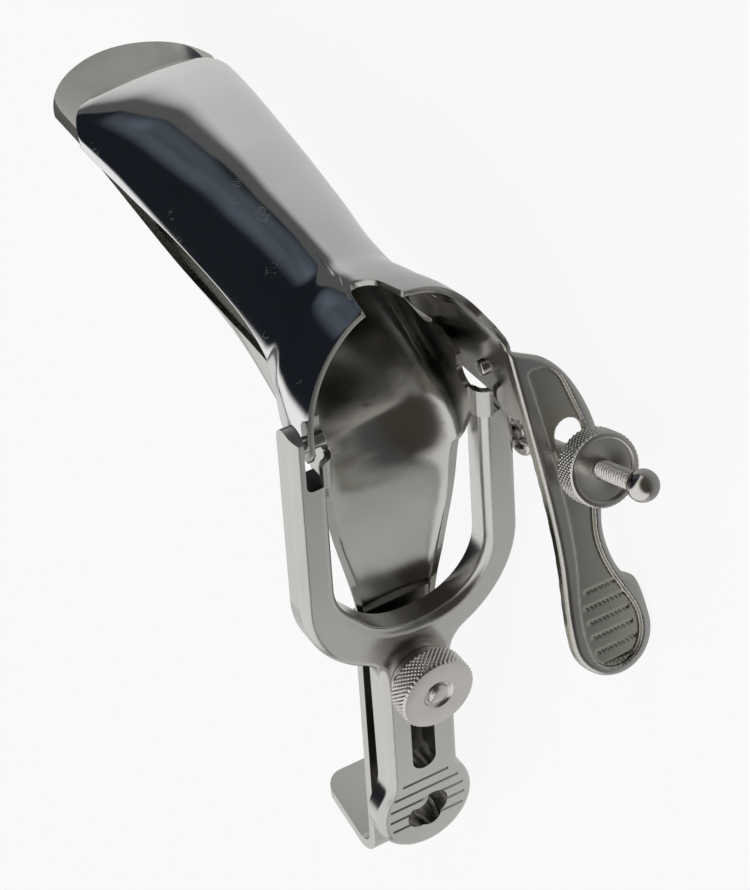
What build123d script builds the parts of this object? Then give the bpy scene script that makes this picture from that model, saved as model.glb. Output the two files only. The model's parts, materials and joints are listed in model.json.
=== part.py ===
from build123d import *
import math
import os

os.makedirs("parts", exist_ok=True)

# Lengths are in millimetres and angles in degrees. The instrument is drawn first in its own
# frame: the hinge pins lie on X, the blades reach out along +Y, the handle hangs along -Z and
# the thumb lever is on the +X side. The last section lays it down as it comes to rest.

# Yoke, one forging: two arms, the bow that joins them, and the slotted handle
arm_half_span = 24.3
arm_width = 7.3
arm_edge_round = 1.8
yoke_front = -2.2
yoke_depth = 5.8
bow_centre = -41.0
bow_floor = -56.2
lug_thickness = 2.6
lug_top = 4.4
shoulder_height = -10.4
neck_half_width = 8.0
bulb_radius = 11.0
bulb_centre = -107.6
handle_back_taper = 1.0
slot_half_width = 2.7
slot_top = -66.0
slot_bottom = -96.4
finger_hole_radius = 3.3
groove_pitch = 2.85
groove_count = 5
groove_depth = 0.35
bow_inner = arm_half_span - arm_width
lug_inner = arm_half_span - lug_thickness

# Hinge pins through the lugs and the ears of the upper blade
pin_radius = 1.6
ear_bore_clearance = 0.05

# Both blades are pressed from the same sheet
sheet = 1.3

# Upper blade
ear_gap = 1.3
ear_half_width = lug_inner - ear_gap
arch_height = 24.6
upper_length = 102.4
upper_tip_round = 13.0
upper_tip_half_width = 18.0
crown_notch_half_width = 4.3
crown_notch_end = 9.8

# Thumb lever, bent from the right wall of the upper blade
lever_slope = 25.0
lever_offset = 12.4
lever_thickness = 2.8
lever_left = ear_half_width - 1.0
lever_dish = 1.1
lever_hole_half_width = 3.2
lever_hole_length = 11.0
thumb_rest_radius = 8.6
thumb_groove_pitch = 3.1

# Lower blade with its heel, handle strip and foot
mouth_gap = 0.15
mouth_half_width = bow_inner - mouth_gap
lower_length = 115.3
lower_tip_round = 19.0
lower_tip_half_width = 18.8
strip_half_width = 8.6
strip_front = 5.3
strip_thickness = 2.2
strip_bottom = -119.0
foot_reach = 26.4
lip_height = 6.4
pin_relief = 3.5

# Clamp stud and nut on the handle
stud_radius = 2.3
stud_height = -69.6
clamp_nut_radius = 8.2
clamp_nut_width = 5.0
clamp_hub_radius = 6.6
clamp_hub_length = 2.4
running_clearance = 0.05

# Side screw, its pivot on the right arm, and its nut
screw_x = 26.8
screw_radius = 1.9
screw_slope = 24.7
screw_length = 48.0
ball_radius = 3.2
eye_width = 2.4
eye_hole_radius = 2.3
eye_ring_radius = 4.2
pivot_radius = 1.1
pivot_y = 1.2
pivot_z = -22.0
side_nut_radius = 7.5
side_nut_width = 5.4
side_nut_travel = 28.4

# How the instrument comes to rest
rest_pitch = -46.359
rest_roll = 74.801
rest_shift = (30.551, -0.479, 34.747)


def front_plane(y):
    """A plane across the instrument at depth y: local x is X and local y is Z."""
    return Plane(origin=(0, y, 0), x_dir=(1, 0, 0), z_dir=(0, -1, 0))


def side_plane(x):
    """A plane along the instrument at x: local x is Y and local y is Z."""
    return Plane(origin=(x, 0, 0), x_dir=(0, 1, 0), z_dir=(1, 0, 0))


def rod(radius, x_start, x_end, y, z):
    """A round rod along X between two places."""
    length = x_end - x_start
    turned = Rot(0, 90, 0) * Cylinder(radius, length, align=(Align.CENTER, Align.CENTER, Align.MIN))
    return Pos(x_start, y, z) * turned


# Yoke: front outline, extruded, rounded, then notched, slotted and grooved
yoke_back = yoke_front + yoke_depth


def yoke_outline():
    """The whole front outline, without the opening between the arms."""
    bow = Pos(0, bow_centre) * Circle(arm_half_span)
    arms = Pos(0, bow_centre) * Rectangle(2 * arm_half_span, lug_top - bow_centre, align=(Align.CENTER, Align.MIN))
    neck = Pos(0, bulb_centre) * Rectangle(2 * neck_half_width, bow_centre - bulb_centre,
                                           align=(Align.CENTER, Align.MIN))
    bulb = Pos(0, bulb_centre) * Circle(bulb_radius)
    outline = bow + arms + neck + bulb
    inner_corners = [v for v in outline.vertices() if abs(abs(v.X) - neck_half_width) < 0.1]
    return fillet(inner_corners, 0.85 * neck_half_width)


def bow_opening():
    """The opening between the arms: its rounded floor is fuller at the left than at the right."""
    side = bow_inner
    top = lug_top + 5
    corners = make_face(Polyline((-side, top), (-side, bow_floor + 0.75 * side), (-0.37 * side, bow_floor),
                                 (side, bow_floor), (side, top), close=True))
    low_corners = [v for v in corners.vertices() if v.Y < 0]
    return fillet(low_corners, 0.82 * side)


def yoke_side_profile():
    """The forging seen from the side: rounded lug tops and a handle that thins downwards."""
    round_top = yoke_depth / 2 - 0.2
    low = bulb_centre - bulb_radius - 1
    profile = Polyline(
        (yoke_front, low),
        (yoke_back - handle_back_taper, low),
        (yoke_back, bow_centre - arm_half_span),
        (yoke_back, lug_top),
        (yoke_front, lug_top),
        close=True,
    )
    face = make_face(profile)
    tops = [v for v in face.vertices() if v.Y > lug_top - 0.1]
    return fillet(tops, round_top)


def make_yoke_blank():
    """The forging before its notches, bores and slots."""
    outline = front_plane(yoke_back) * yoke_outline()
    body = extrude(outline, yoke_depth)
    body -= extrude(front_plane(yoke_back + 1) * bow_opening(), yoke_depth + 2)
    front_edges = body.edges().filter_by_position(Axis.Y, yoke_front - 0.01, yoke_front + 0.01)
    front_edges = [e for e in front_edges if e.center().Z < lug_top - 0.5]
    body = fillet(front_edges, arm_edge_round)
    side = extrude(side_plane(-arm_half_span - 1) * yoke_side_profile(), 2 * arm_half_span + 2)
    return body & side


def make_yoke(body):
    # the inner half of each arm's top is cut down, which leaves the outer lug
    for side_sign in (-1, 1):
        notch = Pos(side_sign * (bow_inner + lug_inner) / 2, shoulder_height) * Rectangle(
            lug_inner - bow_inner + 4, lug_top - shoulder_height + 5, align=(Align.CENTER, Align.MIN))
        notch = Pos(side_sign * -2, 0) * notch
        low_outer = [v for v in notch.vertices() if v.Y < shoulder_height + 0.1
                     and abs(v.X) > lug_inner - 0.1]
        notch = fillet(low_outer, 1.6)
        body -= extrude(front_plane(yoke_back + 1) * notch, yoke_depth + 2)
        body -= rod(pin_radius, side_sign * lug_inner - 5, side_sign * lug_inner + 5, 0, 0)
    slot_height = slot_top - slot_bottom
    slot = Pos(0, (slot_top + slot_bottom) / 2) * Rot(0, 0, 90) * SlotOverall(slot_height, 2 * slot_half_width)
    body -= extrude(front_plane(yoke_back + 1) * slot, yoke_depth + 2)
    # the rough hole in the bulb is three bites
    bites = Pos(1.5, bulb_centre - 0.2) * Circle(finger_hole_radius)
    bites += Pos(-1.5, bulb_centre - 1.9) * Circle(finger_hole_radius - 0.2)
    bites += Pos(0.6, bulb_centre - 3.1) * Circle(finger_hole_radius - 0.8)
    body -= extrude(front_plane(yoke_back + 1) * bites, yoke_depth + 2)
    for row in range(groove_count):
        height = slot_bottom - 3.2 - row * groove_pitch
        half_chord = math.sqrt(bulb_radius ** 2 - (height - bulb_centre) ** 2) - 2.2
        bar = Rot(45, 0, 0) * Box(2 * half_chord, groove_depth * math.sqrt(2), groove_depth * math.sqrt(2))
        body -= Pos(0, yoke_front, height) * bar
    body -= rod(pivot_radius, arm_half_span - 3, arm_half_span + 1, pivot_y, pivot_z)
    return body


def make_hinge_pin(blank, side_sign, inner_end):
    """One pin: its outer end is ground flush with the arm, its plain end stands inside the ear."""
    outer = arm_half_span + 1
    length = outer - lug_inner
    middle = side_sign * (outer + lug_inner) / 2
    riveted = rod(pin_radius, middle - length / 2, middle + length / 2, 0, 0) & blank
    length = lug_inner - inner_end
    middle = side_sign * (lug_inner + inner_end) / 2
    shank = rod(pin_radius, middle - length / 2, middle + length / 2, 0, 0)
    end_edge = shank.edges().filter_by(GeomType.CIRCLE).sort_by(Axis.X)[0 if side_sign > 0 else -1]
    return fillet(end_edge, 0.3 * pin_radius) + riveted


def trough_section(half_width, depth, leg, wall):
    """A U section, open towards +Y of its own plane, with its lowest point at the origin."""
    spring = depth
    outer = EllipticalCenterArc((0, spring), half_width, depth, start_angle=180, arc_size=180)
    inner = EllipticalCenterArc((0, spring), half_width - wall, depth - wall, start_angle=180, arc_size=180)
    right_leg = Line((half_width, spring), (half_width, spring + leg))
    right_rim = Line((half_width, spring + leg), (half_width - wall, spring + leg))
    right_inner = Line((half_width - wall, spring + leg), (half_width - wall, spring))
    left_inner = Line((wall - half_width, spring), (wall - half_width, spring + leg))
    left_rim = Line((wall - half_width, spring + leg), (-half_width, spring + leg))
    left_leg = Line((-half_width, spring + leg), (-half_width, spring))
    return make_face([outer, right_leg, right_rim, right_inner, inner, left_inner, left_rim, left_leg])


def arch_section(left_width, right_width, crown, left_spring, right_spring, low):
    """An arched sheet in section: a quarter ellipse each side of the crown, and straight legs."""
    def one_face(inset):
        left = left_width - inset
        right = right_width - inset
        top = crown - inset
        return [
            Line((right, low), (right, right_spring)),
            EllipticalCenterArc((0, right_spring), right, top - right_spring, start_angle=0, arc_size=90),
            EllipticalCenterArc((0, left_spring), left, top - left_spring, start_angle=90, arc_size=90),
            Line((-left, left_spring), (-left, low)),
        ]
    left_rim = Line((-left_width, low), (sheet - left_width, low))
    right_rim = Line((right_width - sheet, low), (right_width, low))
    return make_face(one_face(0) + [left_rim] + one_face(sheet) + [right_rim])


# Upper blade: the arch lofted along the instrument
# In shares of the blade's length, ear half width and arch height:
# (distance along Y, left half width, right half width, crown, left spring, right spring, low end)
upper_stations = (
    (-0.15, 1.01, 1.01, 0.98, 0.02, 0.36, -0.50),
    (-0.07, 1.01, 1.01, 0.99, 0.03, 0.35, -0.44),
    (0.00, 1.00, 1.00, 1.00, 0.04, 0.33, -0.38),
    (0.06, 0.985, 0.965, 1.00, 0.06, 0.25, -0.32),
    (0.12, 0.935, 0.885, 0.98, 0.10, 0.07, -0.24),
    (0.195, 0.84, 0.775, 0.925, 0.07, 0.03, -0.10),
    (0.29, 0.80, 0.775, 0.91, 0.10, 0.07, 0.00),
    (0.44, 0.82, 0.82, 0.92, 0.20, 0.20, 0.12),
    (0.585, 0.835, 0.835, 0.945, 0.335, 0.335, 0.24),
    (0.73, 0.855, 0.855, 0.935, 0.42, 0.42, 0.33),
    (0.84, 0.88, 0.88, 0.862, 0.46, 0.46, 0.35),
    (0.93, 0.895, 0.895, 0.715, 0.47, 0.47, 0.36),
    (0.968, 0.895, 0.895, 0.61, 0.46, 0.46, 0.36),
    (1.00, 0.895, 0.895, 0.517, 0.435, 0.435, 0.36),
    (1.026, 0.895, 0.895, 0.455, 0.38, 0.38, 0.32),
)


def upper_shell():
    sections = []
    for along, left, right, crown, left_spring, right_spring, low in upper_stations:
        face = arch_section(left * ear_half_width, right * ear_half_width, crown * arch_height,
                            left_spring * arch_height, right_spring * arch_height, low * arch_height)
        sections.append(front_plane(along * upper_length) * face)
    return loft(sections)


def upper_side_cut():
    """What the left ear leaves free, drawn from the side and used on the whole shell."""
    top = arch_height
    ear_bottom = -2.9 * pin_radius
    outline = [
        Line((-30, 40), (3.2, 40)),
        Line((3.2, 40), (2.2, 1.03 * top)),
        Spline((2.2, 1.03 * top), (0.6, 0.77 * top), (-0.8, 0.4 * top), (-1.8, 0.04 * top), (-2.0, -0.1 * top),
               (-0.6, 0.93 * ear_bottom), (2.4, ear_bottom)),
        Line((2.4, ear_bottom), (9.0, -3.6)),
        Line((9.0, -3.6), (9.0, -40)),
        Line((9.0, -40), (-30, -40)),
        Line((-30, -40), (-30, 40)),
    ]
    return make_face(outline)


def upper_rim_cut():
    """Everything below the blade's long edge, from under the pins to the tip."""
    end = 1.1 * upper_length
    edge = Spline((5.0, -4.4), (11.0, -2.9), (14.2, 3.8), (0.26 * upper_length, 6.8), (0.44 * upper_length, 9.4),
                  (0.585 * upper_length, 10.3), (0.73 * upper_length, 10.0), (0.84 * upper_length, 9.9),
                  (0.93 * upper_length, 10.6), (end, 11.6))
    below = Polyline((end, 11.6), (end, -40.0), (5.0, -40.0), (5.0, -4.4))
    return make_face([edge, below])


def wing_side_cut():
    """What the right wing leaves free: the wall reaches forward to the lever."""
    slope = math.radians(lever_slope)
    depth = lever_offset - lever_thickness / 2
    above = 4.6
    below = -8.6
    front_top = (-depth * math.cos(slope) + above * math.sin(slope),
                 depth * math.sin(slope) + above * math.cos(slope))
    front_low = (-depth * math.cos(slope) + below * math.sin(slope),
                 depth * math.sin(slope) + below * math.cos(slope))
    top = arch_height
    outline = [
        Line((-40, 40), (3.2, 40)),
        Line((3.2, 40), (2.2, 1.03 * top)),
        Spline((2.2, 1.03 * top), (3.0, 0.86 * top), (2.0, 0.67 * top), (0.0, 0.575 * top),
               (-3.9, 0.53 * top), (-7.2, 0.47 * top), front_top),
        Line(front_top, front_low),
        Spline(front_low, (-7.6, -6.6), (-3.9, -5.2), (-0.4, -4.6)),
        Line((-0.4, -4.6), (9.0, -3.6)),
        Line((9.0, -3.6), (9.0, -40)),
        Line((9.0, -40), (-40, -40)),
        Line((-40, -40), (-40, 40)),
    ]
    return make_face(outline)


def crown_notch():
    """The rounded bite at the middle of the arch, in plan."""
    half = crown_notch_half_width
    outline = [
        Line((-half, -20), (-half - 0.1, 6.0)),
        Spline((-half - 0.1, 6.0), (-half + 0.1, 8.6), (-2.8, crown_notch_end), (-0.6, crown_notch_end - 0.5),
               (1.4, 7.9), (2.9, 4.9), (half, 1.6)),
        Line((half, 1.6), (half, -20)),
        Line((half, -20), (-half, -20)),
    ]
    return make_face(outline)


def tip_cut(half_width, length, tip_round):
    """What lies outside a blade's rounded end, in plan."""
    straight = length - tip_round
    around = Pos(0, straight) * Rectangle(4 * half_width, length, align=(Align.CENTER, Align.MIN))
    return around - Pos(0, straight) * Ellipse(half_width, tip_round)


# Thumb lever: a dished plate in its own sloping plane
def lever_plane():
    slope = math.radians(lever_slope)
    normal = Vector(0, -math.cos(slope), math.sin(slope))
    return Plane(origin=normal * lever_offset, x_dir=(1, 0, 0), z_dir=normal)


thumb_centre = (lever_left + 5.6, -56.0)
lever_hole_centre = (screw_x + 0.9, -17.6)


def lever_outline():
    right_start = (thumb_centre[0] + thumb_rest_radius, thumb_centre[1])
    left_end = (thumb_centre[0] - thumb_rest_radius, thumb_centre[1])
    outline = [
        Line((lever_left, 5.2), (lever_left + 6.6, 1.6)),
        Spline((lever_left + 6.6, 1.6), (lever_left + 12.0, -7.0), (lever_left + 13.7, -17.0),
               (lever_left + 12.0, -27.0), (lever_left + 9.4, -36.5), (lever_left + 11.2, -45.5),
               right_start, tangents=((1.2, -1.0), (0, -1))),
        ThreePointArc(right_start, (thumb_centre[0], thumb_centre[1] - thumb_rest_radius), left_end),
        Spline(left_end, (lever_left - 1.2, -41.0), (lever_left - 0.2, -28.0), (lever_left, -10.0),
               tangents=((0, 1), (0, 1))),
        Line((lever_left, -10.0), (lever_left, 5.2)),
    ]
    return make_face(outline)


def lever_hollow():
    """The hollow pressed into the lever's front, inside its raised border."""
    left = lever_left + 2.8
    low = thumb_centre[1] - thumb_rest_radius + 1.8
    around = Spline(
        (left, -1.0), (left + 0.5, -13.0), (left + 0.5, -27.0), (left - 0.8, -41.0), (left - 2.9, -54.0),
        (thumb_centre[0] - 3.4, low + 1.0), (thumb_centre[0], low), (thumb_centre[0] + 4.6, low + 2.0),
        (thumb_centre[0] + 6.6, thumb_centre[1] + 1.0), (lever_left + 10.0, -47.4), (lever_left + 7.8, -36.8),
        (lever_left + 10.0, -27.0), (lever_left + 11.8, -17.0), (lever_left + 10.2, -7.0),
        (lever_left + 6.6, -0.6), periodic=True)
    return make_face(around)


def make_lever():
    plane = lever_plane()
    plate = extrude(plane * lever_outline(), -lever_thickness)
    facing = [f for f in plate.faces() if f.normal_at().dot(plane.z_dir) > 0.99][0]
    plate = fillet(facing.edges(), 0.9)
    plate -= extrude(plane * lever_hollow(), -lever_dish)
    hole = Pos(*lever_hole_centre) * Rot(0, 0, 90) * SlotOverall(lever_hole_length, 2 * lever_hole_half_width)
    plate -= extrude(plane * hole, -2 * lever_thickness)
    for row in range(6):
        down = thumb_centre[1] + 9.6 - row * thumb_groove_pitch
        reach = 3.6 if row in (0, 5) else 4.6
        bar = Box(2 * reach, 0.7, 0.6)
        plate -= plane * (Pos(thumb_centre[0] + 0.4, down, -lever_dish) * bar)
    return plate


def make_upper_blade():
    shell = upper_shell()
    tip = tip_cut(upper_tip_half_width, upper_length, upper_tip_round)
    shell -= Pos(0, 0, -20) * extrude(tip, 60)
    half = 1.5 * ear_half_width
    shell -= extrude(side_plane(-half) * upper_side_cut(), half + crown_notch_half_width)
    shell -= extrude(side_plane(crown_notch_half_width) * wing_side_cut(), half)
    shell -= extrude(side_plane(-half) * upper_rim_cut(), 2 * half)
    shell -= Pos(0, 0, 10) * extrude(crown_notch(), 30)
    body = shell + make_lever()
    bore = pin_radius + ear_bore_clearance
    body -= rod(bore, -ear_half_width - 1, -ear_half_width + 3, 0, 0)
    body -= rod(bore, ear_half_width - 3, ear_half_width + 1, 0, 0)
    return body


# Lower blade: the trough turns down at the heel into a funnel, then a flat strip
# (floor Y, floor Z, turn of the section, half width, depth of the round, length of the walls)
lower_stations = (
    (1.023 * lower_length, 10.5, 0, lower_tip_half_width, 2.2, 0.6),
    (0.937 * lower_length, 8.4, 0, lower_tip_half_width, 4.0, 0.6),
    (0.85 * lower_length, 6.3, 0, lower_tip_half_width, 6.0, 0.6),
    (0.73 * lower_length, 3.2, 0, 1.15 * mouth_half_width, 10.5, 0.6),
    (0.65 * lower_length, 1.3, 0, 1.14 * mouth_half_width, 11.5, 0.6),
    (0.53 * lower_length, -1.9, 0, 1.105 * mouth_half_width, 13.0, 0.6),
    (0.434 * lower_length, -4.3, 0, 1.07 * mouth_half_width, 14.0, 0.6),
    (0.347 * lower_length, -6.5, 0, 1.015 * mouth_half_width, 13.8, 1.4),
    (28.0, -9.3, 0, 0.975 * mouth_half_width, 11.6, 3.6),
    (19.0, -12.2, 0, 0.965 * mouth_half_width, 9.4, 13.0),
    (11.6, -15.8, 38, 0.975 * mouth_half_width, 8.0, 20.0),
    (8.2, -20.8, 66, 0.96 * mouth_half_width, 5.6, 16.0),
    (7.2, -27.0, 86, 0.88 * mouth_half_width, 3.6, 11.0),
    (7.2, -37.0, 90, 0.745 * mouth_half_width, 2.8, 8.0),
    (7.4, -48.0, 90, 0.6 * mouth_half_width, 2.4, 8.0),
    (strip_front + strip_thickness, -58.0, 90, strip_half_width, 2.2, 8.0),
)


def lower_shell():
    sections = []
    for y, z, turn, half_width, depth, leg in lower_stations:
        angle = math.radians(turn)
        normal = (0, -math.cos(angle), -math.sin(angle))
        plane = Plane(origin=(0, y, z), x_dir=(1, 0, 0), z_dir=normal)
        sections.append(plane * trough_section(half_width, depth, leg, sheet))
    return loft(sections)


def mouth_cut():
    """What lies in front of the lower blade's mouth and above its long edge, from the side."""
    end = 1.023 * lower_length
    edge = Spline((end, 11.2), (0.85 * lower_length, 10.4), (0.73 * lower_length, 9.0), (0.65 * lower_length, 7.6),
                  (0.53 * lower_length, 5.8), (0.39 * lower_length, 4.9), (28.0, 4.2), (14.0, 3.3),
                  (pin_relief + 1.2, 3.4))
    front = yoke_front + arm_edge_round
    lip_low = lip_top - lip_height
    outline = [
        Line((-30, 40), (end, 40)),
        Line((end, 40), (end, 11.2)),
        edge,
        Line((pin_relief + 1.2, 3.4), (pin_relief, 2.2)),
        Line((pin_relief, 2.2), (pin_relief, 0)),
        ThreePointArc((pin_relief, 0), (pin_relief * 0.707, -pin_relief * 0.707), (0, -pin_relief)),
        Line((0, -pin_relief), (front, lip_top + 0.4)),
        Line((front, lip_top + 0.4), (front, lip_low + 0.4)),
        Spline((front, lip_low + 0.4), (1.8, -14.0), (4.4, -20.0)),
        Line((4.4, -20.0), (4.4, -46.0)),
        Line((4.4, -46.0), (strip_front, -60.0)),
        Line((strip_front, -60.0), (strip_front, -80.0)),
        Line((strip_front, -80.0), (-30, -80)),
        Line((-30, -80), (-30, 40)),
    ]
    return make_face(outline)


# The lips wrap round the rounded front edges of the yoke's arms, just clear of them
lip_top = -2 * pin_radius


def make_lip():
    """The right lip: a quarter turn of sheet, as high as the lip, with its free corners rounded."""
    centre_x = bow_inner + arm_edge_round
    centre_y = yoke_front + arm_edge_round
    inner = arm_edge_round + mouth_gap
    band = Circle(inner + sheet) - Circle(inner)
    band &= Pos(0, 0) * Rectangle(3 * inner, 3 * inner, align=(Align.MAX, Align.MAX))
    lip = Pos(centre_x, centre_y, lip_top - lip_height) * extrude(band, lip_height)
    free_corners = [e for e in lip.edges().filter_by(Axis.Y) if e.center().X > centre_x - 0.1]
    return fillet(free_corners, 0.6)


def make_lower_blade():
    shell = lower_shell()
    tip = tip_cut(lower_tip_half_width, lower_length, lower_tip_round)
    shell -= Pos(0, 0, -40) * extrude(tip, 80)
    shell -= extrude(side_plane(-30) * mouth_cut(), 60)
    strip_back = strip_front + strip_thickness
    bend = 5.0
    rise = math.tan(math.radians(16))
    foot_floor = strip_bottom - bend - 1.6
    outer = [
        Line((strip_front, -55.0), (strip_front, strip_bottom)),
        ThreePointArc((strip_front, strip_bottom), (strip_front + 1.6, strip_bottom - 4.6),
                      (strip_front + 6.2, foot_floor)),
        Line((strip_front + 6.2, foot_floor), (foot_reach, foot_floor + (foot_reach - strip_front - 6.2) * rise)),
        Line((foot_reach, foot_floor + (foot_reach - strip_front - 6.2) * rise),
             (foot_reach, foot_floor + (foot_reach - strip_front - 6.2) * rise + strip_thickness)),
        Line((foot_reach, foot_floor + (foot_reach - strip_front - 6.2) * rise + strip_thickness),
             (strip_front + 6.0, foot_floor + strip_thickness)),
        ThreePointArc((strip_front + 6.0, foot_floor + strip_thickness),
                      (strip_back + 1.0, strip_bottom - 3.1), (strip_back, strip_bottom)),
        Line((strip_back, strip_bottom), (strip_back, -55.0)),
        Line((strip_back, -55.0), (strip_front, -55.0)),
    ]
    strip = extrude(side_plane(-strip_half_width) * make_face(outer), 2 * strip_half_width)
    corners = [e for e in strip.edges().filter_by(Axis.Z)
               if e.center().Y > foot_reach - 0.1]
    strip = fillet(corners, 4.0)
    body = shell + strip
    lip = make_lip()
    body += lip
    body += mirror(lip, Plane.YZ)
    body -= Pos(0, strip_front - 1, stud_height) * (Rot(-90, 0, 0) * Cylinder(
        stud_radius + 0.02, strip_thickness + 4, align=(Align.CENTER, Align.CENTER, Align.MIN)))
    return body


def spindle(parts_list, y_start, z):
    """Coaxial discs along -Y, from y_start: (radius, length) pairs."""
    body = None
    y = y_start
    for radius, length in parts_list:
        disc = Pos(0, y, z) * (Rot(90, 0, 0) * Cylinder(radius, length, align=(Align.CENTER, Align.CENTER, Align.MIN)))
        body = disc if body is None else body + disc
        y -= length
    return body


def make_clamp_stud():
    back = strip_front + strip_thickness
    nut_face = yoke_front - clamp_hub_length - clamp_nut_width
    body = spindle([(stud_radius + 0.8, 0.6), (stud_radius, back - nut_face + 0.3)], back + 0.6, stud_height)
    end_edge = body.edges().filter_by(GeomType.CIRCLE).sort_by(Axis.Y)[0]
    body = fillet(end_edge, 0.8)
    return body


def make_clamp_nut():
    body = spindle([(clamp_hub_radius, clamp_hub_length - running_clearance), (clamp_nut_radius, clamp_nut_width)],
                   yoke_front - running_clearance, stud_height)
    rims = [e for e in body.edges().filter_by(GeomType.CIRCLE) if e.radius > clamp_nut_radius - 0.1]
    body = chamfer(rims, 0.5)
    bore = spindle([(stud_radius + running_clearance, clamp_hub_length + clamp_nut_width + 2)], yoke_front + 1,
                   stud_height)
    return body - bore


def screw_frame():
    """The screw's own plane: its normal points from the eye towards the ball."""
    slope = math.radians(screw_slope)
    direction = Vector(0, -math.cos(slope), math.sin(slope))
    hang = eye_hole_radius - pivot_radius - running_clearance
    centre = Vector(screw_x, pivot_y, pivot_z) + direction * hang
    return Plane(origin=centre, x_dir=(1, 0, 0), z_dir=direction)


def make_side_screw():
    frame = screw_frame()
    ring = Rot(0, 90, 0) * Cylinder(eye_ring_radius, eye_width)
    ring_edges = ring.edges().filter_by(GeomType.CIRCLE)
    ring = fillet(ring_edges, 0.9)
    ring = Pos(*frame.origin) * ring
    shank = frame * (Pos(0, 0, eye_hole_radius + 0.6) * Cylinder(
        screw_radius, screw_length - eye_hole_radius - 0.6, align=(Align.CENTER, Align.CENTER, Align.MIN)))
    ball = frame * (Pos(0, 0, screw_length) * Sphere(ball_radius))
    body = ring + shank + ball
    return body - Pos(*frame.origin) * (Rot(0, 90, 0) * Cylinder(eye_hole_radius, eye_width + 4))


def make_side_nut():
    frame = screw_frame()
    disc = Cylinder(side_nut_radius, side_nut_width, align=(Align.CENTER, Align.CENTER, Align.MIN))
    disc = chamfer(disc.edges().filter_by(GeomType.CIRCLE), 0.5)
    recess = Pos(0, 0, side_nut_width - 0.7) * Cylinder(side_nut_radius - 1.3, 2,
                                                       align=(Align.CENTER, Align.CENTER, Align.MIN))
    bore = Cylinder(screw_radius + running_clearance, 3 * side_nut_width)
    return frame * (Pos(0, 0, side_nut_travel) * (disc - recess - bore))


def make_eye_pivot():
    """A shouldered rivet in the right arm, on which the screw's eye hangs."""
    eye_inner = screw_x - eye_width / 2
    eye_outer = screw_x + eye_width / 2
    collar = rod(pivot_radius + 0.9, arm_half_span, eye_inner - running_clearance, pivot_y, pivot_z)
    shank = rod(pivot_radius, arm_half_span - 3, eye_outer + running_clearance, pivot_y, pivot_z)
    head = rod(pivot_radius + 0.9, eye_outer + running_clearance, eye_outer + 0.9, pivot_y, pivot_z)
    return collar + shank + head


def lay_down(shape):
    """Turn the instrument onto its right side, where the lever, the foot and a blade rim touch."""
    return Pos(*rest_shift) * Rot(0, rest_roll, 0) * Rot(rest_pitch, 0, 0) * shape


yoke_blank = make_yoke_blank()
pieces = {
    "yoke": make_yoke(yoke_blank),
    "left_hinge_pin": make_hinge_pin(yoke_blank, -1, ear_half_width - 4.2),
    "right_hinge_pin": make_hinge_pin(yoke_blank, 1, ear_half_width - 2.4),
    "upper_blade": make_upper_blade(),
    "lower_blade": make_lower_blade(),
    "clamp_stud": make_clamp_stud(),
    "clamp_nut": make_clamp_nut(),
    "side_screw": make_side_screw(),
    "side_nut": make_side_nut(),
    "eye_pivot": make_eye_pivot(),
}
for name, shape in pieces.items():
    export_step(lay_down(shape), "parts/" + name + ".step")
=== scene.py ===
import json
import math

import bmesh
import bpy
from mathutils import Matrix, Vector

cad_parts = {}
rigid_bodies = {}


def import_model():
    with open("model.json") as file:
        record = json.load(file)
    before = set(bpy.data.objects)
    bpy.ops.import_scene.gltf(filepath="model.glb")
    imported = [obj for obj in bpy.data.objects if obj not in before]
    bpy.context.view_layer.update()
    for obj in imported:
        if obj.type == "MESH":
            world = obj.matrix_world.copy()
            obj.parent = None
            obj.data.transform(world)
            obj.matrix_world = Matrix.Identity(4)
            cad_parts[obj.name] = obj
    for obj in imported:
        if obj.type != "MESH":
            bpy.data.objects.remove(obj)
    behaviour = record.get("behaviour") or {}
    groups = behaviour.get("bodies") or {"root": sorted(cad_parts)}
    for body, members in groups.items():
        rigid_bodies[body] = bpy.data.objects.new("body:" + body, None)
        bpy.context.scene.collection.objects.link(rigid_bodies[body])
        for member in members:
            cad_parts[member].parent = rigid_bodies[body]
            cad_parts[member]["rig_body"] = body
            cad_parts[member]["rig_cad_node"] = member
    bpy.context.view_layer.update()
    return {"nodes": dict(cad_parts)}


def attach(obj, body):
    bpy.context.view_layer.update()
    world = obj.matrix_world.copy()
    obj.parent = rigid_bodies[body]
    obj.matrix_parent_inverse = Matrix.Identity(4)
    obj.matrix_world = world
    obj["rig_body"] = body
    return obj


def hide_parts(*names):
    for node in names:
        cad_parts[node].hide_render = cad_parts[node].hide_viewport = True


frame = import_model()
bpy.context.scene.view_settings.view_transform = "Standard"


# How the instrument lies. Its own frame has the hinge along X, the blades along +Y and the handle
# along -Z. It rests on its right side, on the lever, the foot and the rim of the lower blade.
rest_pitch = math.radians(-46.359)
rest_roll = math.radians(74.801)
rest_shift = Vector((0.030551, -0.000479, 0.034747))
turned_down = Matrix.Rotation(rest_roll, 4, "Y") @ Matrix.Rotation(rest_pitch, 4, "X")
lying = Matrix.Translation(rest_shift) @ turned_down


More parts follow.
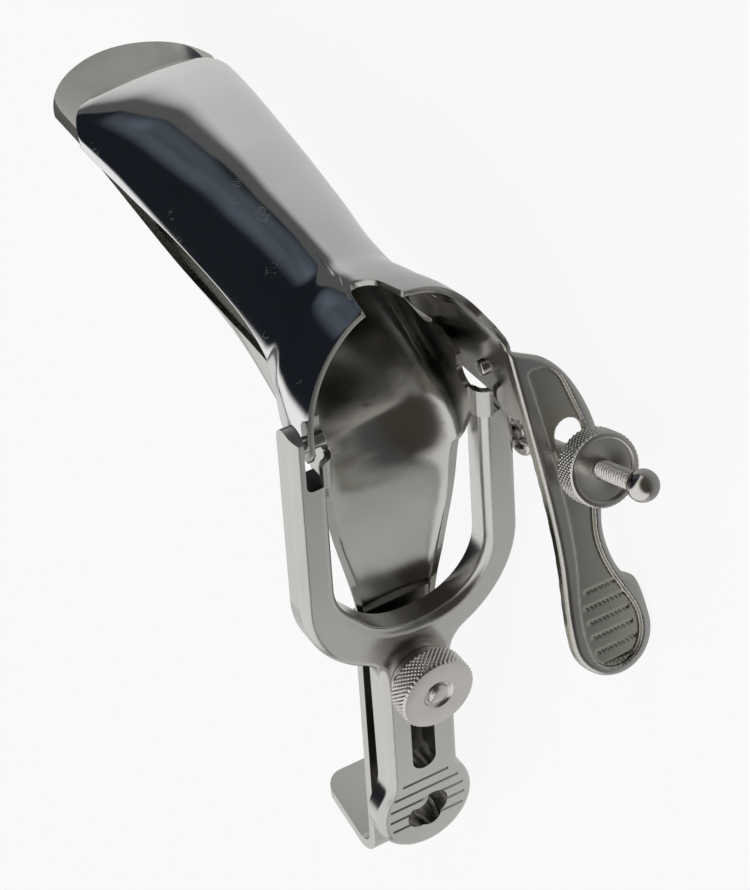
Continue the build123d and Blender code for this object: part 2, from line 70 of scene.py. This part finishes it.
# Yoke: one stainless forging, its front face satin and its edges polished by hand.
# Its arms carry the hinge pins, and its handle is slotted for the clamp stud.
def steel(name, light, dark, roughness, patch, lines, line_turn=(0, 0, 0)):
    """Bare stainless steel: cloudy tone, uneven polish, and fine polishing lines."""
    mat = bpy.data.materials.new(name)
    mat.use_nodes = True
    nodes, links = mat.node_tree.nodes, mat.node_tree.links
    shader = nodes["Principled BSDF"]
    shader.inputs["Metallic"].default_value = 1.0
    place = nodes.new("ShaderNodeTexCoord")
    cloud = nodes.new("ShaderNodeTexNoise")
    cloud.inputs["Scale"].default_value = 1.0 / patch
    cloud.inputs["Detail"].default_value = 6.0
    links.new(place.outputs["Object"], cloud.inputs["Vector"])
    tone = nodes.new("ShaderNodeValToRGB")
    tone.color_ramp.elements[0].position = 0.3
    tone.color_ramp.elements[0].color = (*dark, 1)
    tone.color_ramp.elements[1].position = 0.7
    tone.color_ramp.elements[1].color = (*light, 1)
    links.new(cloud.outputs["Fac"], tone.inputs["Fac"])
    links.new(tone.outputs["Color"], shader.inputs["Base Color"])
    gloss = nodes.new("ShaderNodeMapRange")
    gloss.name = "gloss"
    gloss.inputs["From Min"].default_value = 0.3
    gloss.inputs["From Max"].default_value = 0.7
    gloss.inputs["To Min"].default_value = roughness[0]
    gloss.inputs["To Max"].default_value = roughness[1]
    links.new(cloud.outputs["Fac"], gloss.inputs["Value"])
    links.new(gloss.outputs["Result"], shader.inputs["Roughness"])
    wipe = nodes.new("ShaderNodeMapping")
    wipe.inputs["Rotation"].default_value = line_turn
    wipe.inputs["Scale"].default_value = (40, 900, 900)
    links.new(place.outputs["Object"], wipe.inputs["Vector"])
    hair = nodes.new("ShaderNodeTexNoise")
    hair.inputs["Scale"].default_value = 6.0
    hair.inputs["Detail"].default_value = 3.0
    links.new(wipe.outputs["Vector"], hair.inputs["Vector"])
    relief = nodes.new("ShaderNodeBump")
    relief.inputs["Strength"].default_value = lines
    relief.inputs["Distance"].default_value = 0.0002
    links.new(hair.outputs["Fac"], relief.inputs["Height"])
    links.new(relief.outputs["Normal"], shader.inputs["Normal"])
    return mat


def finish_node(name, material):
    """A CAD node that shows as it is, in its own finish."""
    node = frame["nodes"][name]
    node.data.materials.clear()
    node.data.materials.append(material)


satin_forging = steel("satin_forging", (0.60, 0.59, 0.57), (0.50, 0.49, 0.47), (0.17, 0.27), 0.03, 0.06)
finish_node("yoke", satin_forging)
finish_node("left_hinge_pin", satin_forging)
finish_node("right_hinge_pin", satin_forging)
finish_node("eye_pivot", satin_forging)


# Upper blade: one pressed sheet, mirror polished outside. Its arch narrows from the hinge ears
# to the long tongue, and its right wall runs forward into the thumb lever.
def smooth_value(knots, at):
    """One value of a curve through (place, value) knots, without overshoot between them."""
    places = [k[0] for k in knots]
    if at <= places[0]:
        return knots[0][1]
    if at >= places[-1]:
        return knots[-1][1]
    i = max(n for n, p in enumerate(places) if p <= at)
    slopes = [(b[1] - a[1]) / (b[0] - a[0]) for a, b in zip(knots, knots[1:])]

    def lean(n):
        if n == 0 or n == len(knots) - 1:
            return slopes[min(n, len(slopes) - 1)]
        before, after = slopes[n - 1], slopes[n]
        return 0.0 if before * after <= 0 else 2 * before * after / (before + after)

    span = places[i + 1] - places[i]
    t = (at - places[i]) / span
    a, b = knots[i][1], knots[i + 1][1]
    return ((2 * t**3 - 3 * t**2 + 1) * a + (t**3 - 2 * t**2 + t) * span * lean(i)
            + (3 * t**2 - 2 * t**3) * b + (t**3 - t**2) * span * lean(i + 1))


def point_along(line, share):
    """The point at a share of a line's length, with the line given as points."""
    lengths = [math.dist(a, b) for a, b in zip(line, line[1:])]
    left = share * sum(lengths)
    for a, b, length in zip(line, line[1:], lengths):
        if left <= length:
            t = left / max(length, 1e-9)
            return tuple(p + t * (q - p) for p, q in zip(a, b))
        left -= length
    return line[-1]


def sheet_piece(name, rows, thickness, edge, body, outside, inside):
    """A pressed sheet from rows of points on its outer face, in millimetres of the instrument's frame."""
    mesh = bpy.data.meshes.new(name)
    piece = bpy.data.objects.new(name, mesh)
    bpy.context.scene.collection.objects.link(piece)
    bm = bmesh.new()
    grid = [[bm.verts.new(lying @ (Vector(p) / 1000)) for p in row] for row in rows]
    for row, after in zip(grid, grid[1:]):
        for a, b, c, d in zip(row, row[1:], after[1:], after):
            bm.faces.new((a, d, c, b))
    bmesh.ops.remove_doubles(bm, verts=bm.verts, dist=1e-6)
    bm.to_mesh(mesh)
    bm.free()
    mesh.materials.append(outside)
    mesh.materials.append(inside)
    bpy.ops.object.select_all(action="DESELECT")
    piece.select_set(True)
    bpy.context.view_layer.objects.active = piece
    wall = piece.modifiers.new("wall", "SOLIDIFY")
    wall.thickness = thickness / 1000
    wall.offset = -1
    wall.material_offset = 1
    wall.material_offset_rim = 1
    rim = piece.modifiers.new("rim", "BEVEL")
    rim.width = edge / 1000
    rim.segments = 3
    rim.limit_method = "ANGLE"
    rim.angle_limit = math.radians(55)
    bpy.ops.object.modifier_apply(modifier="wall")
    bpy.ops.object.modifier_apply(modifier="rim")
    bpy.ops.object.shade_smooth_by_angle(angle=math.radians(50))
    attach(piece, body)
    return piece


sheet = 1.3
ear_half_width = 20.4
arch_height = 24.6
upper_length = 102.4
upper_tip_round = 13.0
tip_half_width = 0.897 * ear_half_width
bite_half_width = 4.5
lever_slope = math.radians(25)
lever_depth = 11.0
# shares of the length, ear half width and arch height:
# place, left half width, right half width, crown, left spring, right spring
upper_sections = (
    (-0.15, 1.01, 1.01, 0.98, 0.02, 0.36),
    (-0.07, 1.01, 1.01, 0.99, 0.03, 0.35),
    (0.00, 1.00, 1.00, 1.00, 0.04, 0.33),
    (0.06, 0.985, 0.965, 1.00, 0.06, 0.25),
    (0.12, 0.935, 0.885, 0.98, 0.10, 0.07),
    (0.195, 0.84, 0.775, 0.925, 0.07, 0.03),
    (0.29, 0.80, 0.775, 0.91, 0.10, 0.07),
    (0.44, 0.82, 0.82, 0.92, 0.20, 0.20),
    (0.585, 0.835, 0.835, 0.945, 0.335, 0.335),
    (0.73, 0.855, 0.855, 0.935, 0.42, 0.42),
    (0.84, 0.88, 0.88, 0.862, 0.46, 0.46),
    (0.93, 0.895, 0.895, 0.715, 0.47, 0.47),
    (0.968, 0.895, 0.895, 0.61, 0.46, 0.46),
    (1.00, 0.895, 0.895, 0.517, 0.435, 0.435),
)
# rims: (place along the blade, height of the sheet's lower edge), in millimetres
long_rim = ((2.4, -4.6), (5.0, -4.4), (11.0, -2.9), (14.2, 3.8), (26.6, 6.8), (45.0, 9.4), (60.0, 10.3),
            (75.0, 10.0), (86.0, 9.9), (95.0, 10.6), (103.0, 11.2))
left_rim = ((-2.0, -2.4), (-1.6, -3.5), (-0.6, -4.3)) + long_rim
right_rim = ((-13.6, -3.1), (-11.0, -5.6), (-7.6, -6.6), (-3.9, -5.2), (-0.4, -4.6)) + long_rim
# front edges: (height, place along the blade), and the bite in the crown: (sideways, place)
left_front = ((-4.6, -0.6), (-2.4, -2.0), (1.0, -1.8), (9.8, -0.8), (18.9, 0.6), (25.3, 2.2))
right_front = ((-3.1, -13.6), (8.8, -8.0), (11.6, -7.0), (13.0, -3.9), (14.1, 0.0), (16.5, 2.0), (21.2, 3.0),
               (25.3, 2.2))
crown_bite = ((-4.5, 2.2), (-4.4, 6.0), (-4.2, 8.6), (-2.8, 9.8), (-0.6, 9.3), (1.4, 7.9), (2.9, 4.9),
              (4.3, 1.6))


def upper_point(y, across):
    """A point of the outer face: across runs from -1 at the left rim over the crown to 1 at the right rim."""
    part = y / upper_length
    left = across < 0
    width = ear_half_width * smooth_value([(s[0], s[1] if left else s[2]) for s in upper_sections], part)
    spring = arch_height * smooth_value([(s[0], s[4] if left else s[5]) for s in upper_sections], part)
    crown = arch_height * smooth_value([(s[0], s[3]) for s in upper_sections], part)
    rim = smooth_value(left_rim if left else right_rim, y)
    line = []
    for step in range(33):
        turn = math.radians(90 - 90 * step / 32)
        here = (width * math.cos(turn), spring + (crown - spring) * math.sin(turn))
        if line and here[1] < rim:
            last = line[-1]
            t = (last[1] - rim) / (last[1] - here[1])
            line.append((last[0] + t * (here[0] - last[0]), rim))
            break
        line.append(here)
    if line[-1][1] > rim:
        line.append((width, rim))
    x, z = point_along(line, abs(across))
    return (-x if left else x), z


def upper_ends(across):
    """Where the sheet starts and ends along the instrument on one line over the arch."""
    start = 0.0
    for _ in range(12):
        x, z = upper_point(start, across)
        wanted = smooth_value(left_front if across < 0 else right_front, z)
        if abs(x) < bite_half_width:
            wanted = max(wanted, smooth_value(crown_bite, x))
        start += 0.6 * (wanted - start)
    end = upper_length
    for _ in range(12):
        x, z = upper_point(end, across)
        reach = math.sqrt(max(0.0, 1 - (x / tip_half_width) ** 2))
        end += 0.6 * (upper_length - upper_tip_round * (1 - reach) - end)
    return start, end


# the mirror finish carries a few short scratches, which only dull it
mirror_polish = steel("mirror_polish", (0.76, 0.755, 0.75), (0.70, 0.695, 0.69), (0.06, 0.11), 0.02, 0.01)
nodes, links = mirror_polish.node_tree.nodes, mirror_polish.node_tree.links
place = nodes.new("ShaderNodeTexCoord")
drag = nodes.new("ShaderNodeMapping")
drag.inputs["Rotation"].default_value = (0.4, 0.2, 0.9)
drag.inputs["Scale"].default_value = (70, 190, 190)
links.new(place.outputs["Object"], drag.inputs["Vector"])
mark = nodes.new("ShaderNodeTexVoronoi")
mark.feature = "DISTANCE_TO_EDGE"
links.new(drag.outputs["Vector"], mark.inputs["Vector"])
fine = nodes.new("ShaderNodeMath")
fine.operation = "LESS_THAN"
fine.inputs[1].default_value = 0.012
links.new(mark.outputs["Distance"], fine.inputs[0])
few = nodes.new("ShaderNodeTexNoise")
few.inputs["Scale"].default_value = 130
links.new(place.outputs["Object"], few.inputs["Vector"])
some = nodes.new("ShaderNodeMath")
some.operation = "GREATER_THAN"
some.inputs[1].default_value = 0.66
links.new(few.outputs["Fac"], some.inputs[0])
scratch = nodes.new("ShaderNodeMath")
scratch.operation = "MULTIPLY"
links.new(fine.outputs[0], scratch.inputs[0])
links.new(some.outputs[0], scratch.inputs[1])
rough = nodes.new("ShaderNodeMix")
rough.inputs["B"].default_value = 0.55
links.new(scratch.outputs[0], rough.inputs["Factor"])
links.new(nodes["gloss"].outputs["Result"], rough.inputs["A"])
links.new(rough.outputs["Result"], nodes["Principled BSDF"].inputs["Roughness"])

burnished_sheet = steel("burnished_sheet", (0.56, 0.55, 0.525), (0.44, 0.43, 0.405), (0.13, 0.24), 0.02, 0.05,
                        (0, 0, math.radians(20)))
half_columns = 72
steps_along = 90
upper_rows = []
for column in range(-half_columns, half_columns + 1):
    across = column / half_columns
    start, end = upper_ends(across)
    line = []
    for step in range(steps_along + 1):
        y = start + (end - start) * step / steps_along
        x, z = upper_point(y, across)
        line.append((x, y, z))
    upper_rows.append(line)
tongue = sheet_piece("upper_tongue", upper_rows, sheet, 0.3, "upper", mirror_polish, burnished_sheet)
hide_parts("upper_blade")

# the lever plate keeps the CAD form, without the arch, and its edges are eased as by hand polishing
lever_left = 16.0
lever_back = lever_depth - 1.45
# above this height the lever's raised border gets a painted highlight
highlight_border_level = lever_depth + 1.0
bpy.ops.object.select_all(action="DESELECT")
lever = frame["nodes"]["upper_blade"].copy()
lever.data = lever.data.copy()
lever.name = "thumb_lever"
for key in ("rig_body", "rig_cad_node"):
    if key in lever:
        del lever[key]
lever.parent = None
lever.hide_render = False
lever.hide_viewport = False
bpy.context.scene.collection.objects.link(lever)
bm = bmesh.new()
bm.from_mesh(lever.data)
bmesh.ops.remove_doubles(bm, verts=bm.verts, dist=1e-6)
bm.to_mesh(lever.data)
bm.free()
lever.select_set(True)
bpy.context.view_layer.objects.active = lever
grain = lever.modifiers.new("grain", "REMESH")
grain.mode = "VOXEL"
grain.voxel_size = 0.00024
ease = lever.modifiers.new("ease", "SMOOTH")
ease.factor = 0.5
ease.iterations = 4
bpy.ops.object.modifier_apply(modifier="grain")
bpy.ops.object.modifier_apply(modifier="ease")
bm = bmesh.new()
bm.from_mesh(lever.data)
unlying = lying.inverted()
lever_normal = Vector((0, -math.cos(lever_slope), math.sin(lever_slope)))
away = []
for face in bm.faces:
    centre = (unlying @ face.calc_center_median()) * 1000
    if centre.dot(lever_normal) < lever_back or centre.x < lever_left:
        away.append(face)
bmesh.ops.delete(bm, geom=away, context="FACES")
bm.to_mesh(lever.data)
bm.free()
bpy.ops.object.shade_smooth()
lever.data.materials.clear()
# the dish's darker olive tone is painted shade
shaded_dish_satin = steel("shaded_dish_satin", (0.50, 0.49, 0.44), (0.38, 0.375, 0.325), (0.14, 0.24), 0.015, 0.05)
lever.data.materials.append(shaded_dish_satin)
lever.data.materials.append(satin_forging)
# the raised border is painted lighter than the dish as a painted highlight, and the dish keeps the darker
# painted shade
for face in lever.data.polygons:
    if (unlying @ face.center).dot(lever_normal) * 1000 > highlight_border_level:
        face.material_index = 1
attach(lever, "upper")


# Lower blade: the second pressed sheet, satin inside. Its trough turns down at the heel into a
# funnel, and the strip below carries the clamp stud and ends in a foot.
finish_node("lower_blade", burnished_sheet)


# Clamp stud and nut: turned steel, the nut diamond knurled. Together they grip the handle.
def turned_piece(name, rings, turns, place, body, material, relief=None):
    """A turned part from rings of (radius, height). relief(angle, height) cuts into marked rings."""
    mesh = bpy.data.meshes.new(name)
    piece = bpy.data.objects.new(name, mesh)
    bpy.context.scene.collection.objects.link(piece)
    bm = bmesh.new()
    loops = []
    for ring in rings:
        radius, height = ring[:2]
        cut = relief if len(ring) > 2 else None
        if radius == 0:
            loops.append([bm.verts.new(lying @ (place @ Vector((0, 0, height)) / 1000))] * turns)
            continue
        loop = []
        for n in range(turns):
            angle = 2 * math.pi * n / turns
            reach = radius - (cut(angle, height) if cut else 0)
            spot = Vector((reach * math.cos(angle), reach * math.sin(angle), height))
            loop.append(bm.verts.new(lying @ (place @ spot / 1000)))
        loops.append(loop)
    for low, high in zip(loops, loops[1:]):
        for n in range(turns):
            m = (n + 1) % turns
            corners = []
            for v in (low[n], low[m], high[m], high[n]):
                if v not in corners:
                    corners.append(v)
            if len(corners) > 2:
                bm.faces.new(corners)
    bmesh.ops.remove_doubles(bm, verts=bm.verts, dist=1e-7)
    bmesh.ops.recalc_face_normals(bm, faces=bm.faces)
    bm.to_mesh(mesh)
    bm.free()
    bpy.ops.object.select_all(action="DESELECT")
    piece.select_set(True)
    bpy.context.view_layer.objects.active = piece
    bpy.ops.object.shade_smooth_by_angle(angle=math.radians(32))
    mesh.materials.append(material)
    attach(piece, body)
    return piece


def knurl(radius, pitch, depth):
    """A diamond pattern of two crossing sets of grooves, for turned_piece."""
    count = round(2 * math.pi * radius / pitch)

    def cut(angle, height):
        u = count * angle / (2 * math.pi)
        v = height / pitch
        first = abs(2 * ((u + v) % 1) - 1)
        second = abs(2 * ((u - v) % 1) - 1)
        return depth * (1 - min(1.0, 1.6 * min(first, second)))

    return cut


yoke_front = -2.2
stud_height = -69.6
bright_turning = steel("bright_turning", (0.68, 0.66, 0.63), (0.57, 0.55, 0.525), (0.15, 0.25), 0.008, 0.04)
clamp_axis = Matrix.Translation((0, yoke_front - 0.05, stud_height)) @ Matrix.Rotation(math.pi / 2, 4, "X")
knurl_pitch = 1.05
knurl_depth = 0.22
clamp_radius = 8.2
hub_rings = [(2.35, 0), (6.5, 0), (6.6, 0.1), (6.6, 2.2), (6.75, 2.35), (7.7, 2.35), (7.9, 2.45)]
grip_rings = [(clamp_radius, 2.75 + 4.2 * n / 42, True) for n in range(43)]
face_rings = [(7.75, 7.3), (7.55, 7.35), (3.4, 7.35), (3.25, 7.25), (3.0, 6.9), (2.35, 6.7), (2.35, 0)]
clamp_nut = turned_piece("clamp_nut_turned", hub_rings + grip_rings + face_rings, 400, clamp_axis, "clamp",
                         bright_turning, knurl(clamp_radius, knurl_pitch, knurl_depth))
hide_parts("clamp_nut")
stud_rings = [(0, 7.72), (0.9, 7.68), (1.6, 7.55), (2.1, 7.3), (2.3, 6.95), (2.3, -9.6), (3.1, -9.65),
              (3.1, -10.2), (0, -10.25)]
clamp_stud = turned_piece("clamp_stud_turned", stud_rings, 64, clamp_axis, "lower", bright_turning)
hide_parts("clamp_stud")


# Side screw: an eye that swings on the arm's pivot, a threaded shank and a polished ball end.
# The knurled nut runs on it and sets how far the blades open.
screw_slope = math.radians(24.7)
screw_length = 48.0
eye_hole_radius = 2.3
pivot_radius = 1.1
running_clearance = 0.05
hang = eye_hole_radius - pivot_radius - running_clearance
screw_way = Vector((0, -math.cos(screw_slope), math.sin(screw_slope)))
screw_eye = Vector((26.8, 1.2, -22.0)) + hang * screw_way
screw_side = Vector((1, 0, 0))
screw_axis = Matrix.Translation(screw_eye) @ Matrix(
    (screw_side, screw_way.cross(screw_side), screw_way)).transposed().to_4x4()
thread_pitch = 0.9
thread_depth = 0.32


def thread(angle, height):
    """A rounded V thread, for turned_piece."""
    wave = abs(2 * ((height / thread_pitch - angle / (2 * math.pi)) % 1) - 1)
    return thread_depth * (1 - min(1.0, 1.25 * wave))


shank_rows = [(1.9, 6.2 + (screw_length - 9.6) * n / 400, True) for n in range(401)]
ball_radius = 3.2
ball_rows = []
for n in range(25):
    tilt = math.radians(-52 + 142 * n / 24)
    ball_ring = ball_radius * math.cos(tilt) if n < 24 else 0
    ball_rows.append((ball_ring, screw_length + ball_radius * math.sin(tilt)))
neck_rows = [(1.5, screw_length - 3.1), (1.5, screw_length - 2.7)]
screw_rows = [(0, 2.4), (1.55, 2.5), (1.6, 5.9)] + shank_rows + neck_rows + ball_rows
shank = turned_piece("side_screw_shank", screw_rows, 48, screw_axis, "screw", bright_turning, thread)
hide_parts("side_screw")
eye_axis = Matrix.Translation(screw_eye) @ Matrix.Rotation(math.pi / 2, 4, "Y")
eye_rings = []
for n in range(33):
    turn = 2 * math.pi * n / 32
    eye_rings.append((3.25 + 0.95 * math.cos(turn), 1.2 * math.sin(turn)))
turned_piece("side_screw_eye", eye_rings, 64, eye_axis, "screw", bright_turning)

nut_start = 28.4
nut_radius = 7.5
nut_back = [(1.95, nut_start), (6.9, nut_start), (7.15, nut_start + 0.1)]
nut_grip = [(nut_radius, nut_start + 0.4 + 4.6 * n / 46, True) for n in range(47)]
nut_face = [(7.1, nut_start + 5.35), (6.9, nut_start + 5.4), (6.35, nut_start + 5.4), (6.2, nut_start + 5.3),
            (6.1, nut_start + 4.7), (2.6, nut_start + 4.7), (1.95, nut_start + 4.5), (1.95, nut_start)]
side_nut = turned_piece("side_nut_turned", nut_back + nut_grip + nut_face, 360, screw_axis, "side_nut",
                        bright_turning, knurl(nut_radius, knurl_pitch, knurl_depth))
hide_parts("side_nut")


# Table top, light and camera. The instrument lies on a white sweep with a pale ceiling above it.
# The room is dark beyond the sweep and behind the camera, which is what the polished steel shows.
bpy.ops.mesh.primitive_plane_add(size=12, location=(0, 0, -0.0001))
table_top = bpy.context.object
table_top.name = "table_top"
white_paper = bpy.data.materials.new("white_paper")
white_paper.use_nodes = True
paper_nodes, paper_links = white_paper.node_tree.nodes, white_paper.node_tree.links
paper = paper_nodes["Principled BSDF"]
paper.inputs["Base Color"].default_value = (0.85, 0.85, 0.85, 1)
paper.inputs["Roughness"].default_value = 0.9
table_place = paper_nodes.new("ShaderNodeTexCoord")
sweep = paper_nodes.new("ShaderNodeMapping")
sweep.vector_type = "TEXTURE"
sweep.inputs["Location"].default_value = (-0.40, -0.10, 0)
sweep.inputs["Scale"].default_value = (0.56, 0.31, 1)
paper_links.new(table_place.outputs["Object"], sweep.inputs["Vector"])
apart = paper_nodes.new("ShaderNodeVectorMath")
apart.operation = "ABSOLUTE"
paper_links.new(sweep.outputs["Vector"], apart.inputs[0])
sides = paper_nodes.new("ShaderNodeSeparateXYZ")
paper_links.new(apart.outputs["Vector"], sides.inputs["Vector"])
reach = paper_nodes.new("ShaderNodeMath")
reach.operation = "MAXIMUM"
paper_links.new(sides.outputs["X"], reach.inputs[0])
paper_links.new(sides.outputs["Y"], reach.inputs[1])
fade = paper_nodes.new("ShaderNodeValToRGB")
fade.color_ramp.interpolation = "EASE"
fade.color_ramp.elements[0].position = 0.62
fade.color_ramp.elements[0].color = (0.76, 0.76, 0.75, 1)
fade.color_ramp.elements[1].position = 1.0
fade.color_ramp.elements[1].color = (0.06, 0.062, 0.065, 1)
paper_links.new(reach.outputs["Value"], fade.inputs["Fac"])
seen = paper_nodes.new("ShaderNodeLightPath")
tone = paper_nodes.new("ShaderNodeMix")
tone.data_type = "RGBA"
tone.inputs["B"].default_value = (1, 1, 1, 1)
paper_links.new(seen.outputs["Is Camera Ray"], tone.inputs["Factor"])
paper_links.new(fade.outputs["Color"], tone.inputs["A"])
glow = paper_nodes.new("ShaderNodeEmission")
paper_links.new(tone.outputs["Result"], glow.inputs["Color"])
either = paper_nodes.new("ShaderNodeMath")
either.operation = "MAXIMUM"
paper_links.new(seen.outputs["Is Camera Ray"], either.inputs[0])
paper_links.new(seen.outputs["Is Glossy Ray"], either.inputs[1])
any_view = paper_nodes.new("ShaderNodeMath")
any_view.operation = "MAXIMUM"
paper_links.new(either.outputs[0], any_view.inputs[0])
paper_links.new(seen.outputs["Is Transmission Ray"], any_view.inputs[1])
share = paper_nodes.new("ShaderNodeMath")
share.operation = "MULTIPLY"
share.inputs[1].default_value = 0.9
paper_links.new(any_view.outputs[0], share.inputs[0])
blend = paper_nodes.new("ShaderNodeMixShader")
paper_links.new(share.outputs[0], blend.inputs[0])
paper_links.new(paper.outputs["BSDF"], blend.inputs[1])
paper_links.new(glow.outputs["Emission"], blend.inputs[2])
paper_links.new(blend.outputs["Shader"], paper_nodes["Material Output"].inputs["Surface"])
table_top.data.materials.append(white_paper)

world = bpy.data.worlds.new("studio")
bpy.context.scene.world = world
world.use_nodes = True
room, room_links = world.node_tree.nodes, world.node_tree.links
around = room.new("ShaderNodeTexCoord")


def side_of_room(azimuth, height, inner, outer):
    """How much a direction lies towards one side of the room, given in degrees."""
    a, h = math.radians(azimuth), math.radians(height)
    facing = room.new("ShaderNodeVectorMath")
    facing.operation = "DOT_PRODUCT"
    facing.inputs[1].default_value = (math.cos(h) * math.cos(a), math.cos(h) * math.sin(a), math.sin(h))
    room_links.new(around.outputs["Generated"], facing.inputs[0])
    near = room.new("ShaderNodeMapRange")
    near.interpolation_type = "SMOOTHSTEP"
    near.inputs["From Min"].default_value = math.cos(math.radians(outer))
    near.inputs["From Max"].default_value = math.cos(math.radians(inner))
    room_links.new(facing.outputs["Value"], near.inputs["Value"])
    return near.outputs["Result"]


def lay_over(below, amount, colour):
    """One colour of the room laid over another."""
    mix = room.new("ShaderNodeMix")
    mix.data_type = "RGBA"
    mix.inputs["B"].default_value = (*colour, 1)
    room_links.new(amount, mix.inputs["Factor"])
    if isinstance(below, tuple):
        mix.inputs["A"].default_value = (*below, 1)
    else:
        room_links.new(below, mix.inputs["A"])
    return mix.outputs["Result"]


haze = room.new("ShaderNodeTexNoise")
haze.inputs["Scale"].default_value = 3.2
haze.inputs["Detail"].default_value = 3.0
room_links.new(around.outputs["Generated"], haze.inputs["Vector"])
window = room.new("ShaderNodeMath")
window.operation = "MULTIPLY"
room_links.new(side_of_room(99, 15, 1, 21), window.inputs[0])
room_links.new(haze.outputs["Fac"], window.inputs[1])
room_colour = lay_over((1.0, 1.0, 1.0), side_of_room(-4, 6, 46, 72), (0.070, 0.063, 0.053))
room_colour = lay_over(room_colour, side_of_room(120, 21, 45, 51), (0.011, 0.014, 0.019))
room_colour = lay_over(room_colour, window.outputs[0], (0.16, 0.19, 0.235))
room_links.new(room_colour, room["Background"].inputs["Color"])

# The camera stands where the photograph was taken from, given in the instrument's own frame.
# The focal length and the height of the picture are in the same unit.
view_forward = Vector((0.353, 0.654, -0.669)).normalized()
view_right = Vector((0.857, -0.513, -0.049))
view_right = (view_right - view_right.dot(view_forward) * view_forward).normalized()
view_up = view_right.cross(view_forward)
view_distance = 0.899993
picture_centre = (0.004238, 0.007694)
picture_height = 890
focal_length = 4769.96
camera_data = bpy.data.cameras.new("camera")
camera = bpy.data.objects.new("camera", camera_data)
bpy.context.scene.collection.objects.link(camera)
eye = -picture_centre[0] * view_right - picture_centre[1] * view_up - view_distance * view_forward
stand = Matrix((view_right, view_up, -view_forward)).transposed().to_4x4()
camera.matrix_world = lying @ Matrix.Translation(eye) @ stand
camera_data.sensor_width = 36.0
camera_data.lens = camera_data.sensor_width * focal_length / picture_height
camera_data.clip_end = 10
bpy.context.scene.camera = camera
